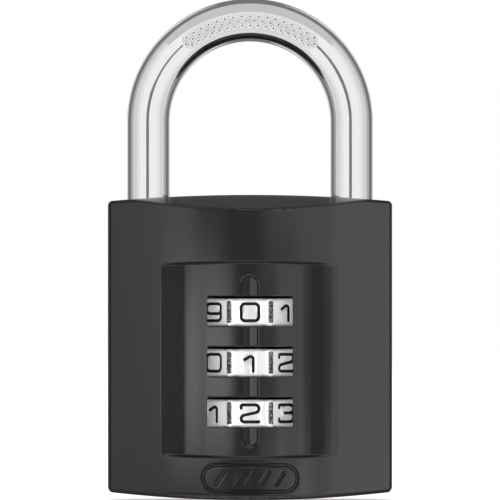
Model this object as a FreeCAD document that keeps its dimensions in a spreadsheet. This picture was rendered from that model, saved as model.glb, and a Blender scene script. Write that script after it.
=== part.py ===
import FreeCAD, Part
import math
import os
import re
import Sketcher
from FreeCAD import Placement, Rotation, Vector

# A three-dial combination padlock. Millimetres, +Z up towards the shackle, the dials face -Y.
# The origin is under the middle of the case, at its lowest point. The dials, the code spindle and
# both shackle legs share one upright plane, which stands axis_forward in front of the mid-depth.

DIMENSIONS = (
    # case
    ("case_width", 40.0, "across the case"),
    ("case_front", 10.7, "depth of the crowned front, from the mid-depth"),
    ("case_rear", 10.7, "depth of the flat rear, from the mid-depth"),
    ("case_top", 42.9, "height of the case at its middle"),
    ("top_crown", 223.0, "radius of the arched top edge"),
    ("foot_crown", 182.0, "radius of the arched bottom edge"),
    ("crown_radius", 32.0, "plan radius of the crowned front"),
    ("crown_half", 12.9, "half width of the crown, where the flat flanks start"),
    ("rear_flat_half", 14.2, "half width of the flat rear"),
    ("rear_side", 5.5, "depth at which the rear flanks reach the sides"),
    ("side_round", 1.1, "rounding of the upright side edges"),
    ("foot_round", 0.8, "rounding of the lower rim and of the rear uprights"),
    ("head_round", 0.5, "rounding of the upper rim"),
    ("bevel_drop", 2.0, "how far the sloping top bevel falls at the front"),
    ("bevel_start", 4.0, "depth at which the top bevel starts"),
    ("axis_forward", 1.0, "the mechanism plane, in front of the mid-depth"),
    # recessed panel, index groove and badge outline on the front
    ("panel_foot", 6.0, "lower edge of the recessed panel, in the middle"),
    ("panel_head", 33.3, "upper edge of the recessed panel, in the middle"),
    ("panel_bow", 200.0, "radius of the panel's bowed edges"),
    ("panel_depth", 8.35, "depth of the panel's flat floor"),
    ("drum_radius", 18.0, "radius of the bulge over the dials"),
    ("drum_depth", 10.2, "depth of the bulge at its front"),
    ("groove_width", 2.5, "index groove"),
    ("groove_depth", 9.5, "depth of the index groove's floor"),
    ("groove_foot", 7.2, "lower end of the index groove"),
    ("groove_head", 31.8, "upper end of the index groove"),
    ("badge_length", 13.7, "outline of the blank badge"),
    ("badge_height", 4.2, "outline of the blank badge"),
    ("badge_line", 0.45, "width of the badge's outline groove"),
    ("badge_middle", 3.07, "height of the badge's middle"),
    ("badge_cut", 0.3, "depth of the badge's grooves"),
    # dials
    ("dial_pitch", 7.1, "from one dial to the next"),
    ("dial_middle", 19.46, "middle of the middle window"),
    ("window_width", 12.0, "opening in front of a dial"),
    ("window_height", 4.22, "opening in front of a dial"),
    ("window_round", 0.3, "corners of a window"),
    ("wheel_radius", 9.7, "number wheel over its ridges"),
    ("wheel_height", 3.8, "number wheel"),
    ("wheel_low", 2.06, "from the window's middle down to the wheel's lower face"),
    ("facet_depth", 8.55, "from the axis to the middle of a digit's facet"),
    ("facet_radius", 6.34, "hollow of a digit's facet"),
    ("wheel_chamfer", 0.25, "outer edges of a wheel"),
    ("digit_depth", 0.35, "how far a digit is engraved"),
    ("ridge_bar_width", 0.5, "bar engraved in a ridge"),
    ("ridge_bar_height", 3.1, "bar engraved in a ridge"),
    ("ridge_bar_depth", 0.25, "how far a ridge bar is engraved"),
    ("ridge_bar_lift", 0.05, "from a wheel's middle up to the bar's middle"),
    ("wheel_room", 0.2, "from a wheel's ridges to the case"),
    ("sleeve_radius", 5.6, "code sleeve"),
    ("sleeve_height", 7.0, "code sleeve"),
    ("sleeve_cavity", 3.6, "room for the spindle's fins in a sleeve"),
    ("sleeve_flange", 1.2, "gated floor of a sleeve"),
    ("gate_width", 1.3, "gate in a sleeve's floor, and notches in a wheel"),
    ("tooth_width", 1.2, "driving tooth of a sleeve"),
    ("tooth_height", 1.8, "driving tooth of a sleeve"),
    ("tooth_reach", 6.5, "driving tooth's outer radius"),
    ("notch_reach", 6.6, "outer radius of the notches in a wheel"),
    ("counterbore", 6.7, "lower bore of a wheel, where a shifted tooth turns free"),
    ("fit_gap", 0.05, "radial clearance of a running fit"),
    ("slip_gap", 0.1, "clearance of pieces laid in from the rear"),
    ("bearing_gap", 0.1, "clearance of the sleeves in the case"),
    # spindle, bolts and bolt chamber
    ("spindle_radius", 2.0, "code spindle"),
    ("spindle_foot", 8.9, "lower end of the spindle"),
    ("spindle_bore", 1.35, "bore for the spindle spring"),
    ("spindle_bore_top", 17.0, "closed end of that bore"),
    ("fin_reach", 3.5, "outer radius of a fin"),
    ("fin_width", 1.1, "fin"),
    ("fin_height", 1.2, "fin"),
    ("fin_rest", 0.2, "from a sleeve's floor up to its fin"),
    ("wedge_foot", 36.0, "lower end of the wedge"),
    ("wedge_height", 5.3, "wedge"),
    ("wedge_half", 4.2, "half width of the wedge at its foot"),
    ("wedge_slope", 0.52, "how fast the wedge narrows upwards"),
    ("bolt_thick", 5.0, "wedge and bolts, from front to rear"),
    ("bolt_height", 3.0, "bolts"),
    ("bolt_gap", 0.1, "clearance around the bolts"),
    ("bolt_tip", 12.45, "outer end of a bolt, from the middle"),
    ("chamber_top", 41.6, "roof over the wedge"),
    ("guide_height", 0.85, "plate under the bolts"),
    ("guide_low", 1.0, "from the bolts down to the plate's lower face"),
    ("guide_half", 10.0, "half width of the plate under the bolts"),
    ("guide_front", 6.0, "depth of that plate's front edge"),
    ("guide_lift", 0.03, "from that plate down to its seat"),
    ("wedge_gap", 0.03, "from the wedge to the bolts"),
    ("wedge_room_gap", 0.4, "from the wedge's foot to the walls of its room"),
    ("cavity_foot", 3.2, "floor of the lower spring room"),
    # shackle
    ("bar_radius", 3.0, "shackle bar"),
    ("leg_offset", 14.3, "from the middle to a leg's axis"),
    ("bow_height", 53.2, "height of the bow's centre"),
    ("leg_room", 0.1, "radial clearance of a leg"),
    ("toe_foot", 30.0, "end of the short leg"),
    ("heel_foot", 8.0, "end of the long leg"),
    ("heel_bore_foot", 5.4, "bottom of the long leg's bore"),
    ("neck_foot", 10.1, "lower end of the neck in the long leg"),
    ("neck_head", 25.0, "upper end of the neck"),
    ("neck_radius", 2.0, "neck"),
    ("notch_depth", 1.25, "bolt notches in the legs"),
    ("notch_slope", 0.2, "how fast a notch runs out downwards"),
    ("bow_band_inner", 12.96, "recessed band on the bow's front"),
    ("bow_band_outer", 15.35, "recessed band on the bow's front"),
    ("bow_band_floor", 2.62, "depth of the band's floor"),
    ("bow_band_angle", 36.0, "half of the arc between the centres of the band's round ends"),
    ("keeper_radius", 0.75, "retaining pin behind the neck"),
    ("keeper_offset", 11.45, "retaining pin, from the middle"),
    ("keeper_height", 24.0, "retaining pin"),
    ("keeper_front", 3.5, "from the legs' plane to the retaining pin's front end"),
    # rear cover and its rivets
    ("cover_half", 12.9, "rear cover"),
    ("cover_foot", 2.5, "lower edge of the rear cover"),
    ("cover_head", 41.2, "upper edge of the rear cover"),
    ("cover_inner", 9.0, "depth of the cover's inner face"),
    ("cover_round", 1.5, "corners of the rear cover"),
    ("cover_gap", 0.05, "gap around the cover"),
    ("rivet_radius", 0.8, "cover rivets"),
    ("rivet_offset", 11.4, "cover rivets, from the middle"),
    ("rivet_low", 5.2, "lower pair of rivets"),
    ("rivet_high", 38.4, "upper pair of rivets"),
    ("rivet_end", 4.0, "depth of the rivets' inner ends"),
    ("rib_front", 2.2, "depth at which the cover's ribs start"),
    ("saddle_gap", 0.15, "from a sleeve to the hollow of a rib"),
    ("bolt_block_half", 9.4, "half width of the cover's block behind the bolts"),
    ("wedge_block_half", 4.5, "half width of the cover's block behind the wedge"),
    ("root", 0.2, "how far ribs and blocks run into the cover plate"),
    # click springs behind the dials
    ("click_width", 3.0, "click spring"),
    ("click_gauge", 0.3, "strip of a click spring"),
    ("click_tip", 7.62, "depth of the bend that rests in a facet"),
    ("click_tip_half", 0.6, "half length of that bend"),
    ("click_seat", 9.6, "depth of a click spring's ends"),
    ("click_reach", 7.0, "where the sloping arms end"),
    ("click_half", 8.5, "half length of a click spring"),
    ("click_room", 9.95, "depth of the pocket in the cover"),
    # code change carriage and coil springs
    ("change_travel", 2.0, "how far the carriage can be pressed down"),
    ("plate_top", 8.8, "reset plate"),
    ("plate_height", 1.2, "reset plate"),
    ("plate_radius", 5.5, "reset plate and stack washer"),
    ("arm_reach", 12.7, "end of the plate's arm, under the long leg"),
    ("arm_half", 1.5, "half width of the plate's arm"),
    ("heel_flat", 13.0, "flat on the long leg that clears the arm"),
    ("heel_flat_top", 9.4, "upper end of that flat"),
    ("washer_bore", 4.9, "stack washer"),
    ("washer_height", 0.5, "stack washer"),
    ("washer_foot", 30.1, "stack washer"),
    ("stack_coil", 5.25, "mean radius of the stack spring"),
    ("stack_wire", 0.3, "wire radius of the stack spring"),
    ("reset_coil", 4.6, "mean radius of the reset spring"),
    ("reset_wire", 0.35, "wire radius of the reset spring"),
    ("spindle_coil", 1.0, "mean radius of the spindle spring"),
    ("spindle_wire", 0.18, "wire radius of the spindle spring"),
    ("coil_gap", 0.02, "from a coil's ends to the faces they press on"),
)

DIALS = (1, 2, 3)  # from the top down
CODE = (0, 1, 2)  # digit at the index on each dial; the gates line up on this code
DIGITS = 10
STEP = 360.0 / DIGITS

doc = FreeCAD.newDocument("combination_padlock")
sheet = doc.addObject("Spreadsheet::Sheet", "Dims")
for line, (alias, number, note) in enumerate(DIMENSIONS, start=1):
    sheet.set(f"A{line}", alias)
    sheet.set(f"B{line}", str(number))
    sheet.set(f"C{line}", note)
    sheet.setAlias(f"B{line}", alias)
doc.recompute()
ALIASES = {alias for alias, number, note in DIMENSIONS}


# ---------------------------------------------------------------- formulas and simple solids


def value(formula):
    """The number that a formula of the sheet's names gives."""
    result = sheet.evalExpression(formula)
    return float(getattr(result, "Value", result))


def bind(thing, prop, formula):
    """Ties a property to a formula of the sheet's names."""
    words = re.sub(r"[a-z_]+", lambda m: "Dims." + m.group() if m.group() in ALIASES else m.group(), formula)
    thing.setExpression(prop, words)


def put(thing, place, turn=None):
    """Places an object at (x, y, z) formulas, turned by an (axis, degrees) pair."""
    if turn:
        thing.Placement = Placement(Vector(0, 0, 0), Rotation(Vector(*turn[0]), turn[1]))
    for axis, formula in zip("xyz", place):
        bind(thing, f"Placement.Base.{axis}", formula)
    return thing


def cylinder(name, radius, height, place, turn=None):
    thing = doc.addObject("Part::Cylinder", name)
    bind(thing, "Radius", radius)
    bind(thing, "Height", height)
    return put(thing, place, turn)


def box(name, low, high):
    """A box between two corners, each given as three formulas."""
    thing = doc.addObject("Part::Box", name)
    for prop, start, end in zip(("Length", "Width", "Height"), low, high):
        bind(thing, prop, f"({end}) - ({start})")
    return put(thing, low)


def fuse(name, shapes):
    thing = doc.addObject("Part::MultiFuse", name)
    thing.Shapes = shapes
    return thing


def cut(name, base, tools):
    """The base with every tool taken away."""
    thing = doc.addObject("Part::Cut", name)
    thing.Base = base
    thing.Tool = tools[0] if len(tools) == 1 else fuse(name + "_tools", tools)
    return thing


def common(name, first, second):
    thing = doc.addObject("Part::MultiCommon", name)
    thing.Shapes = [first, second]
    return thing


# ---------------------------------------------------------------- sketched solids


def origin_feature(body, role):
    return next(item for item in body.Origin.OriginFeatures if item.Role == role)


def sketch_on(body, plane, offset="0"):
    """An empty sketch on one of the body's own planes, moved along its normal."""
    sketch = body.newObject("Sketcher::SketchObject", body.Name + "_sketch")
    sketch.AttachmentSupport = (origin_feature(body, plane + "_Plane"), [""])
    sketch.MapMode = "FlatFace"
    if offset != "0":
        bind(sketch, "AttachmentOffset.Base.z", offset)
    return sketch


def arc_between(start, end, radius, leftward):
    """A circle's arc from start to end, with its centre on the left or right of that line."""
    chord = end - start
    side = Vector(-chord.y, chord.x, 0) * (1 if leftward else -1)
    side.normalize()
    rise = math.sqrt(max(radius ** 2 - (chord.Length / 2) ** 2, 0))
    centre = (start + end) * 0.5 + side * rise
    first, last = (start, end) if leftward else (end, start)
    low = math.atan2(first.y - centre.y, first.x - centre.x)
    high = math.atan2(last.y - centre.y, last.x - centre.x)
    return Part.ArcOfCircle(Part.Circle(centre, Vector(0, 0, 1), radius), low, high)


def draw_outline(sketch, corners, arcs):
    """A closed outline through corners, each a pair of formulas. arcs gives a side its (radius, leftward),
    or (radius, leftward, "half") for a half circle, which is held by its tangent instead of its radius."""
    spots = [Vector(value(x), value(y), 0) for x, y in corners]
    ends = []
    for side, start in enumerate(spots):
        end = spots[(side + 1) % len(spots)]
        if side in arcs:
            radius, leftward = arcs[side][:2]
            sketch.addGeometry(arc_between(start, end, value(radius), leftward))
            ends.append((1, 2) if leftward else (2, 1))
        else:
            sketch.addGeometry(Part.LineSegment(start, end))
            ends.append((1, 2))
    for side, (x, y) in enumerate(corners):
        before = side - 1 if side else len(corners) - 1
        start = ends[side][0]
        joint = "Tangent" if "half" in arcs.get(side, ()) else "Coincident"
        sketch.addConstraint(Sketcher.Constraint(joint, side, start, before, ends[before][1]))
        pin_point(sketch, side, start, "DistanceX", x, -2)
        pin_point(sketch, side, start, "DistanceY", y, -1)
    for side, arc in arcs.items():
        if "half" not in arc:
            index = sketch.addConstraint(Sketcher.Constraint("Radius", side, value(arc[0])))
            bind(sketch, f"Constraints[{index}]", arc[0])


def pin_point(sketch, side, end, kind, formula, zero_axis):
    """Holds one coordinate of a point at a formula, or on the axis when the formula is 0."""
    if formula == "0":
        sketch.addConstraint(Sketcher.Constraint("PointOnObject", side, end, zero_axis))
        return
    index = sketch.addConstraint(Sketcher.Constraint(kind, -1, 1, side, end, value(formula)))
    bind(sketch, f"Constraints[{index}]", formula)


def draw_circle(sketch, radius, centre=("0", "0")):
    middle = Vector(value(centre[0]), value(centre[1]), 0)
    sketch.addGeometry(Part.Circle(middle, Vector(0, 0, 1), value(radius)))
    side = sketch.GeometryCount - 1
    pin_point(sketch, side, 3, "DistanceX", centre[0], -2)
    pin_point(sketch, side, 3, "DistanceY", centre[1], -1)
    index = sketch.addConstraint(Sketcher.Constraint("Radius", side, value(radius)))
    bind(sketch, f"Constraints[{index}]", radius)


def pad(body, sketch, length):
    thing = body.newObject("PartDesign::Pad", sketch.Name + "_pad")
    thing.Profile = sketch
    bind(thing, "Length", length)
    body.Tip = thing
    return thing


def turn_section(body, sketch, section):
    """A solid of revolution of (radius, height) corners about the body's upright axis."""
    draw_outline(sketch, section, {})
    turned = body.newObject("PartDesign::Revolution", sketch.Name + "_turned")
    turned.Profile = sketch
    turned.ReferenceAxis = (sketch, ["V_Axis"])
    turned.Angle = 360
    body.Tip = turned


def pocket(body, sketch, length, reversed_cut):
    thing = body.newObject("PartDesign::Pocket", sketch.Name + "_pocket")
    thing.Profile = sketch
    bind(thing, "Length", length)
    thing.Reversed = reversed_cut
    body.Tip = thing
    return thing


def round_pattern(body, feature, count):
    """Repeats a feature around the body's upright axis."""
    thing = body.newObject("PartDesign::PolarPattern", feature.Name + "_pattern")
    thing.Originals = [feature]
    thing.Axis = (origin_feature(body, "Z_Axis"), [""])
    thing.Angle = 360
    thing.Occurrences = count
    body.Tip = thing
    return thing


def prism(name, plane, corners, start, length, arcs=None):
    """An outline on a plane, pushed out by length from start. XZ outlines go forward, towards -Y."""
    body = doc.addObject("PartDesign::Body", name)
    sketch = sketch_on(body, plane, start)
    draw_outline(sketch, corners, arcs or {})
    pad(body, sketch, length)
    return body


def stadium(name, half_length, radius, middle, start, length, upright=False):
    """A round-ended bar seen from the front, pushed forward by length from start."""
    x, z = middle
    corners = [
        (f"{x} - ({half_length})", f"{z} - ({radius})"),
        (f"{x} + ({half_length})", f"{z} - ({radius})"),
        (f"{x} + ({half_length})", f"{z} + ({radius})"),
        (f"{x} - ({half_length})", f"{z} + ({radius})"),
    ]
    if upright:
        corners = [
            (f"{x} + ({radius})", f"{z} - ({half_length})"),
            (f"{x} + ({radius})", f"{z} + ({half_length})"),
            (f"{x} - ({radius})", f"{z} + ({half_length})"),
            (f"{x} - ({radius})", f"{z} - ({half_length})"),
        ]
    ends = {1: (radius, True, "half"), 3: (radius, True, "half")}
    return prism(name, "XZ", corners, start, length, ends)


def rounded_box(name, half_width, low, high, corner, start, length):
    """A box with four round upright-plane corners, pushed forward by length from start."""
    near = f"{half_width} - {corner}"
    corners = [
        (f"-({near})", low),
        (near, low),
        (half_width, f"{low} + {corner}"),
        (half_width, f"{high} - {corner}"),
        (near, high),
        (f"-({near})", high),
        (f"-({half_width})", f"{high} - {corner}"),
        (f"-({half_width})", f"{low} + {corner}"),
    ]
    return prism(name, "XZ", corners, start, length, {side: (corner, True) for side in (1, 3, 5, 7)})


def lathe(name, section):
    """A section of (radius, height) corners, turned round the mechanism's axis."""
    body = doc.addObject("PartDesign::Body", name)
    turn_section(body, sketch_on(body, "XZ"), section)
    return put(body, ("0", "-axis_forward", "0"))


# ---------------------------------------------------------------- heights along the stack


def window_middle(dial):
    """Height of a dial's window; dial 1 is the top one."""
    return f"dial_middle + {2 - dial} * dial_pitch"


def wheel_foot(dial):
    return f"{window_middle(dial)} - wheel_low"


def sleeve_foot(dial):
    return f"{window_middle(dial)} - sleeve_height / 2"


AXIS_Y = "-axis_forward"
LYING = ((1, 0, 0), -90)  # turns a cylinder's axis from +Z to +Y
CROWN_DROP = "crown_radius - sqrt(crown_radius * crown_radius - crown_half * crown_half)"
CROWN_EDGE = f"case_front - ({CROWN_DROP})"
FLANK_SLOPE = "crown_half / sqrt(crown_radius * crown_radius - crown_half * crown_half)"
FRONT_SIDE = f"{CROWN_EDGE} - (case_width / 2 - crown_half) * {FLANK_SLOPE}"


# ---------------------------------------------------------------- case


def case_plan():
    """The case's plan outline: crowned front, flat flanks, straight sides, sloping rear flanks."""
    corners = [
        ("-crown_half", f"-({CROWN_EDGE})"),
        ("crown_half", f"-({CROWN_EDGE})"),
        ("case_width / 2", f"-({FRONT_SIDE})"),
        ("case_width / 2", "rear_side"),
        ("rear_flat_half", "case_rear"),
        ("-rear_flat_half", "case_rear"),
        ("-case_width / 2", "rear_side"),
        ("-case_width / 2", f"-({FRONT_SIDE})"),
    ]
    return prism("case_plan", "XY", corners, "0", "case_top", {0: ("crown_radius", True)})


def arched_outline(name, half_width, foot, foot_radius, head, head_radius, start, length):
    """A front outline with straight sides and arched lower and upper edges."""
    low = f"{foot} + {foot_radius} - sqrt({foot_radius} * {foot_radius} - ({half_width}) * ({half_width}))"
    high = f"{head} - {head_radius} + sqrt({head_radius} * {head_radius} - ({half_width}) * ({half_width}))"
    corners = [
        (f"-({half_width})", low),
        (half_width, low),
        (half_width, high),
        (f"-({half_width})", high),
    ]
    return prism(name, "XZ", corners, start, length, {0: (foot_radius, True), 2: (head_radius, True)})


def case_block():
    """The solid case: plan and front outlines in common, side edges rounded, top front bevelled."""
    front = arched_outline(
        "case_front_view", "case_width / 2 + 1", "0", "foot_crown", "case_top", "top_crown",
        "-(case_rear + 1)", "case_front + case_rear + 2",
    )
    block = common("case_blank", case_plan(), front)
    doc.recompute()
    rounded = doc.addObject("Part::Fillet", "case_rounded")
    rounded.Base = block
    sides = upright_edges(block.Shape, value("case_width / 2"))
    rounded.Edges = [(number, value("side_round"), value("side_round")) for number in sides]
    reach = "(case_front + 1)"
    bevel_corners = [
        ("-bevel_start", "case_top"),
        (f"-{reach}", f"case_top - bevel_drop * ({reach} - bevel_start) / (case_front - bevel_start)"),
        (f"-{reach}", "case_top + 1"),
        ("-bevel_start", "case_top + 1"),
    ]
    bevel = prism("top_bevel", "YZ", bevel_corners, "-case_width", "2 * case_width")
    bevelled = cut("case_bevelled", rounded, [bevel])
    doc.recompute()
    softened = doc.addObject("Part::Fillet", "case_softened")
    softened.Base = bevelled
    softened.Edges = rim_edges(bevelled.Shape)
    return softened


def upright_edges(shape, offset):
    """Numbers of the upright edges that stand at +-offset from the middle."""
    numbers = []
    for number, edge in enumerate(shape.Edges, start=1):
        ends = [vertex.Point for vertex in edge.Vertexes]
        upright = len(ends) == 2 and abs(ends[0].x - ends[1].x) < 1e-6 and abs(ends[0].y - ends[1].y) < 1e-6
        if upright and abs(abs(ends[0].x) - offset) < 1e-6:
            numbers.append(number)
    return numbers


def rim_edges(shape):
    """Every edge round the foot and the head of the case, and the rear uprights, each with its rounding."""
    edges = [(number, value("foot_round")) for number in upright_edges(shape, value("rear_flat_half"))]
    for number, edge in enumerate(shape.Edges, start=1):
        if edge.BoundBox.ZMax < value("badge_middle"):
            edges.append((number, value("foot_round")))
        if edge.BoundBox.ZMin > value("panel_head"):
            edges.append((number, value("head_round")))
    return [(number, radius, radius) for number, radius in edges]


def panel_cutter():
    """What is taken off the front to leave the flat panel with the bulge over the dials."""
    slab = arched_outline(
        "panel_slab", "crown_half + 1", "panel_foot", "panel_bow", "panel_head", "panel_bow",
        "panel_depth", "case_front",
    )
    bulge = cylinder(
        "panel_bulge", "drum_radius", "case_top", ("0", "drum_radius - drum_depth", "0"),
    )
    return cut("panel_cutter", slab, [bulge])


def badge_cutter():
    """The outline groove of the blank badge and five plain slanting dashes in it."""
    middle = ("0", "badge_middle")
    straight = "(badge_length - badge_height) / 2"
    outer = stadium("badge_outer", straight, "badge_height / 2", middle, "0", "case_front + 1")
    inner = stadium("badge_inner", straight, "badge_height / 2 - badge_line", middle, "0", "case_front + 2")
    ring = cut("badge_ring", outer, [inner])
    dashes = []
    for place in (-2, -1, 0, 1, 2):
        foot = f"{place} * badge_height / 2 - badge_height / 8"
        corners = [
            (f"{foot} - badge_line / 2", "badge_middle - badge_height / 5"),
            (f"{foot} + badge_line / 2", "badge_middle - badge_height / 5"),
            (f"{foot} + badge_line / 2 + badge_height / 4", "badge_middle + badge_height / 5"),
            (f"{foot} - badge_line / 2 + badge_height / 4", "badge_middle + badge_height / 5"),
        ]
        dashes.append(prism(f"badge_dash_{place + 3}", "XZ", corners, "0", "case_front + 1"))
    marks = fuse("badge_marks", [ring] + dashes)
    inside = cylinder(
        "badge_floor", "crown_radius - badge_cut", "case_top", ("0", "crown_radius - case_front", "0"),
    )
    return cut("badge_cutter", marks, [inside])


def dial_rooms(dial):
    """The slot for a number wheel, open at the rear, and the window in front of it."""
    low = f"{window_middle(dial)} - window_height / 2"
    high = f"{window_middle(dial)} + window_height / 2"
    radius = "wheel_radius + wheel_room"
    return [
        cylinder(f"slot_{dial}", radius, "window_height", ("0", AXIS_Y, low)),
        box(f"slot_mouth_{dial}", (f"-({radius})", AXIS_Y, low), (radius, "cover_inner", high)),
        rounded_box(
            f"window_{dial}", "window_width / 2", low, high, "window_round", "panel_depth - 2", "case_front",
        ),
    ]


def stack_room():
    """The upright room for sleeves, spindle and springs, open at the rear."""
    radius = "sleeve_radius + bearing_gap"
    ceiling = "wedge_foot - guide_low"
    return [
        cylinder("stack_bore", radius, f"{ceiling} - cavity_foot", ("0", AXIS_Y, "cavity_foot")),
        box("stack_mouth", (f"-({radius})", AXIS_Y, "cavity_foot"), (radius, "cover_inner", ceiling)),
    ]


def plate_room():
    """The slot in which the reset plate's arm moves down, and its way in from the rear."""
    half = "arm_half + bearing_gap"
    low = "plate_top - plate_height - change_travel - 2 * slip_gap"
    high = "plate_top + 1.5 * slip_gap"
    corner = ("-(heel_flat + 2 * slip_gap)", f"{AXIS_Y} - ({half})", low)
    return [
        box("arm_slot", corner, ("0", f"{AXIS_Y} + {half}", high)),
        box("arm_mouth", ("-arm_reach", AXIS_Y, low), ("0", "cover_inner", high)),
    ]


def bolt_room():
    """The cross tunnel for the bolts, the wedge's room over it and the guide plate's seat under it."""
    half = "bolt_thick / 2 + bolt_gap"
    low = "wedge_foot - bolt_gap"
    high = "wedge_foot + bolt_height + bolt_gap"
    front = f"{AXIS_Y} - ({half})"
    wedge = "(wedge_half + wedge_room_gap)"
    block = "(bolt_block_half + slip_gap)"
    guide = "(guide_half + fit_gap)"
    guide_corner = (f"-{guide}", "-(guide_front + fit_gap)", "wedge_foot - guide_low")
    return [
        box("bolt_tunnel", ("-leg_offset", front, low), ("leg_offset", f"{AXIS_Y} + {half}", high)),
        box("bolt_mouth", (f"-{block}", AXIS_Y, low), (block, "cover_inner", high)),
        box("wedge_room", (f"-{wedge}", front, low), (wedge, "cover_inner", "chamber_top")),
        box("guide_seat", guide_corner, (guide, "cover_inner", low)),
    ]


def leg_bores():
    radius = "bar_radius + leg_room"
    return [
        cylinder("heel_bore", radius, "case_top", ("-leg_offset", AXIS_Y, "heel_bore_foot")),
        cylinder("toe_bore", radius, "case_top", ("leg_offset", AXIS_Y, "toe_foot - 0.5")),
    ]


def rivets(name, radius, low, high):
    """Four short pins through the corners of the rear cover."""
    pins = []
    for x in ("-rivet_offset", "rivet_offset"):
        for z in ("rivet_low", "rivet_high"):
            label = f"{name}_{len(pins) + 1}"
            pins.append(cylinder(label, radius, f"({high}) - ({low})", (x, low, z), LYING))
    return pins


def rear_recess():
    """The seat of the rear cover, and the holes behind it for the rivets and the retaining pin."""
    seat = rounded_box(
        "cover_seat", "(cover_half + cover_gap)", "cover_foot - cover_gap", "cover_head + cover_gap",
        "cover_round", "-(case_rear + 1)", "case_rear + 1 - cover_inner",
    )
    keeper = cylinder(
        "keeper_hole", "keeper_radius", "cover_inner + axis_forward + keeper_front + slip_gap",
        ("-keeper_offset", "-axis_forward - keeper_front - slip_gap", "keeper_height"), LYING,
    )
    return [seat, keeper] + rivets("rivet_hole", "rivet_radius", "rivet_end", "case_rear")


def body_shell():
    rooms = stack_room() + plate_room() + bolt_room() + leg_bores() + rear_recess()
    for dial in DIALS:
        rooms += dial_rooms(dial)
    groove_half = "(groove_head - groove_foot - groove_width) / 2"
    groove = stadium(
        "index_groove", groove_half, "groove_width / 2", ("0", "(groove_head + groove_foot) / 2"),
        "groove_depth", "2", upright=True,
    )
    return cut("body_shell", case_block(), rooms + [panel_cutter(), badge_cutter(), groove])


def cover_rib(name, low, high):
    """A rib that closes the rear of a web, hollowed to hold the code sleeves."""
    half = "sleeve_radius"
    rib = box(f"{name}_block", (f"-{half}", "rib_front", low), (half, "cover_inner + root", high))
    saddle = cylinder(f"{name}_saddle", "sleeve_radius + saddle_gap", "case_top", ("0", AXIS_Y, "0"))
    return cut(name, rib, [saddle])


def rear_cover():
    """The flush rear cover with its ribs, its block behind the bolts and the click spring pockets."""
    plate = rounded_box(
        "cover_plate", "cover_half", "cover_foot", "cover_head", "cover_round",
        "-case_rear", "case_rear - cover_inner",
    )
    solids = [plate]
    upwards = (3, 2, 1)
    lows = [f"{sleeve_foot(3)} + 2 * slip_gap"]
    lows += [f"{window_middle(dial)} + window_height / 2 + fit_gap" for dial in upwards]
    highs = [f"{window_middle(dial)} - window_height / 2 - fit_gap" for dial in upwards]
    highs.append("washer_foot - 2 * slip_gap")
    for number, (low, high) in enumerate(zip(lows, highs), start=1):
        solids.append(cover_rib(f"cover_rib_{number}", low, high))
    front = "bolt_thick / 2 + bolt_gap - axis_forward"
    top = "wedge_foot + bolt_height"
    for name, half, high in (("bolt", "bolt_block_half", top), ("wedge", "wedge_block_half", "cover_head")):
        corner = (half, "cover_inner + root", high)
        solids.append(box(f"cover_{name}_block", (f"-{half}", front, "wedge_foot"), corner))
    tools = rivets("cover_hole", "rivet_radius", "rivet_end", "case_rear")
    for dial in DIALS:
        half = "click_width / 2 + 1.5 * slip_gap"
        low = ("-(click_half + slip_gap)", "cover_inner - 1", f"{window_middle(dial)} - ({half})")
        high = ("click_half + slip_gap", "click_room", f"{window_middle(dial)} + {half}")
        tools.append(box(f"click_pocket_{dial}", low, high))
    return cut("rear_cover", fuse("cover_blank", solids), tools)


def cover_rivets():
    return fuse("cover_rivets", rivets("cover_rivet", "rivet_radius", "rivet_end", "case_rear"))


# ---------------------------------------------------------------- shackle, spindle and bolts


def shackle():
    bow = doc.addObject("Part::Torus", "shackle_bow")
    bind(bow, "Radius1", "leg_offset")
    bind(bow, "Radius2", "bar_radius")
    bow.Angle3 = 180
    put(bow, ("0", AXIS_Y, "bow_height"), ((1, 0, 0), 90))
    heel = cylinder("heel_leg", "bar_radius", "bow_height - heel_foot", ("-leg_offset", AXIS_Y, "heel_foot"))
    toe = cylinder("toe_leg", "bar_radius", "bow_height - toe_foot", ("leg_offset", AXIS_Y, "toe_foot"))
    tools = [heel_neck(), heel_flat_cutter(), bow_band()]
    tools += [bolt_notch("heel_notch", -1), bolt_notch("toe_notch", 1)]
    return cut("shackle", fuse("shackle_bar", [bow, heel, toe]), tools)


def heel_neck():
    """The ring taken off the long leg, so that the retaining pin holds it over the whole lift."""
    place = ("-leg_offset", AXIS_Y, "neck_foot")
    ring = cylinder("neck_ring", "bar_radius + 1", "neck_head - neck_foot", place)
    core = cylinder("neck_core", "neck_radius", "neck_head - neck_foot", place)
    return cut("heel_neck", ring, [core])


def heel_flat_cutter():
    """The flat at the foot of the long leg, which passes the reset plate's arm."""
    low = ("-heel_flat", f"{AXIS_Y} - bar_radius - 1", "heel_foot - 1")
    high = ("-leg_offset + bar_radius + 1", f"{AXIS_Y} + bar_radius + 1", "heel_flat_top")
    return box("heel_flat_cutter", low, high)


def bolt_notch(name, side):
    """A notch with a square upper step and a long run-out below, facing the middle of the lock."""
    inner = "(leg_offset - bar_radius)"
    top = "wedge_foot + bolt_height + 0.05"
    foot = "toe_foot - 0.1"
    reach = f"{inner} + notch_depth"
    runout = f"{reach} - notch_slope * (wedge_foot - ({foot}))"
    corners = [
        (f"{side} * ({inner} - 1)", foot),
        (f"{side} * ({runout})", foot),
        (f"{side} * ({reach})", "wedge_foot"),
        (f"{side} * ({reach})", top),
        (f"{side} * ({inner} - 1)", top),
    ]
    return prism(name, "XZ", corners, "axis_forward - bar_radius - 1", "2 * bar_radius + 2")


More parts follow.
